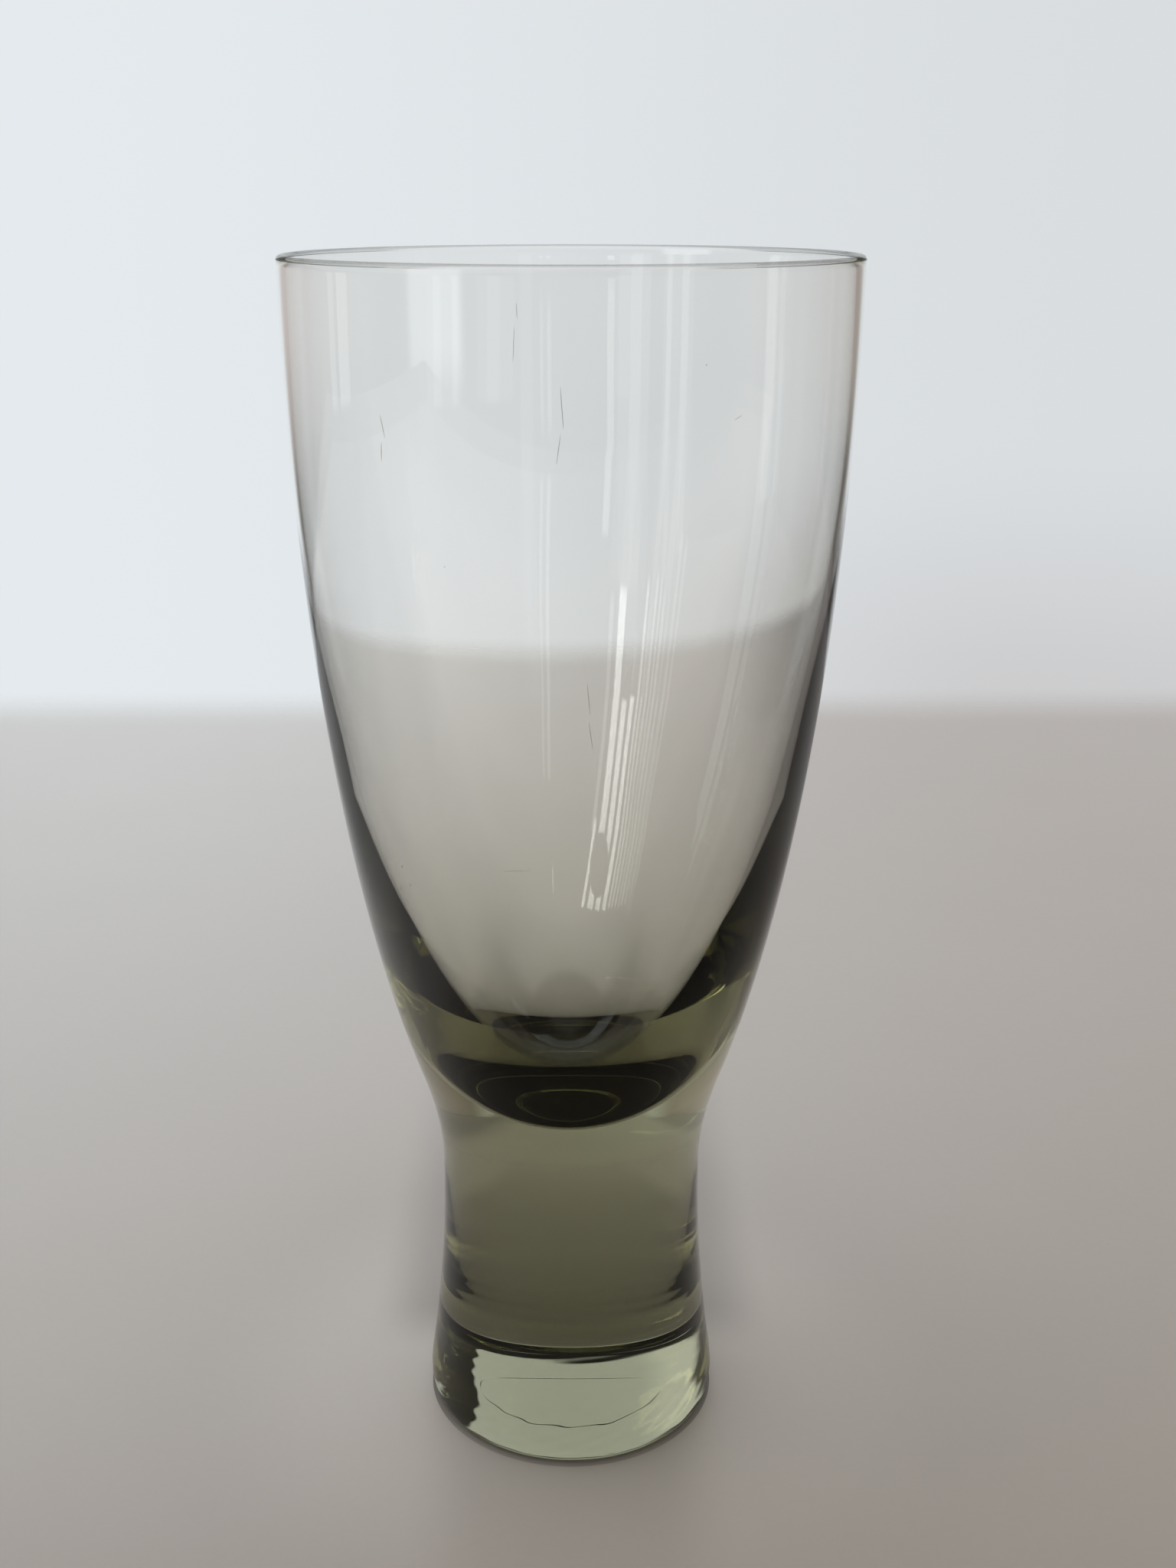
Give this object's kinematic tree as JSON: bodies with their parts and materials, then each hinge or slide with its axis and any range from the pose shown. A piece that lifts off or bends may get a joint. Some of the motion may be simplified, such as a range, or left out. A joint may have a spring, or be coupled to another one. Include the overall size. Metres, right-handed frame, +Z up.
{
  "type": "red wine glass",
  "caption": "Stemmed wine glass in smoke-coloured glass: a deep tapering bowl with a heavy floor on a solid waisted stem and a short flat foot.",
  "frame": {"origin": "middle of the foot's flat underside, on the surface that the glass stands on", "axes": "+Z up the axis of the bowl and stem, towards the rim; the glass is round about it, and -Y faces the viewer of the picture"},
  "size_m": [0.0618, 0.0618, 0.14],
  "materials": {
    "smoke_glass": "clear hand-blown glass with a grey-green smoke tint, fire-polished, with light wear scratches"
  },
  "bodies": {
    "root": {"bowl": "smoke_glass", "stem": "smoke_glass", "foot": "smoke_glass"}
  },
  "joints": []
}
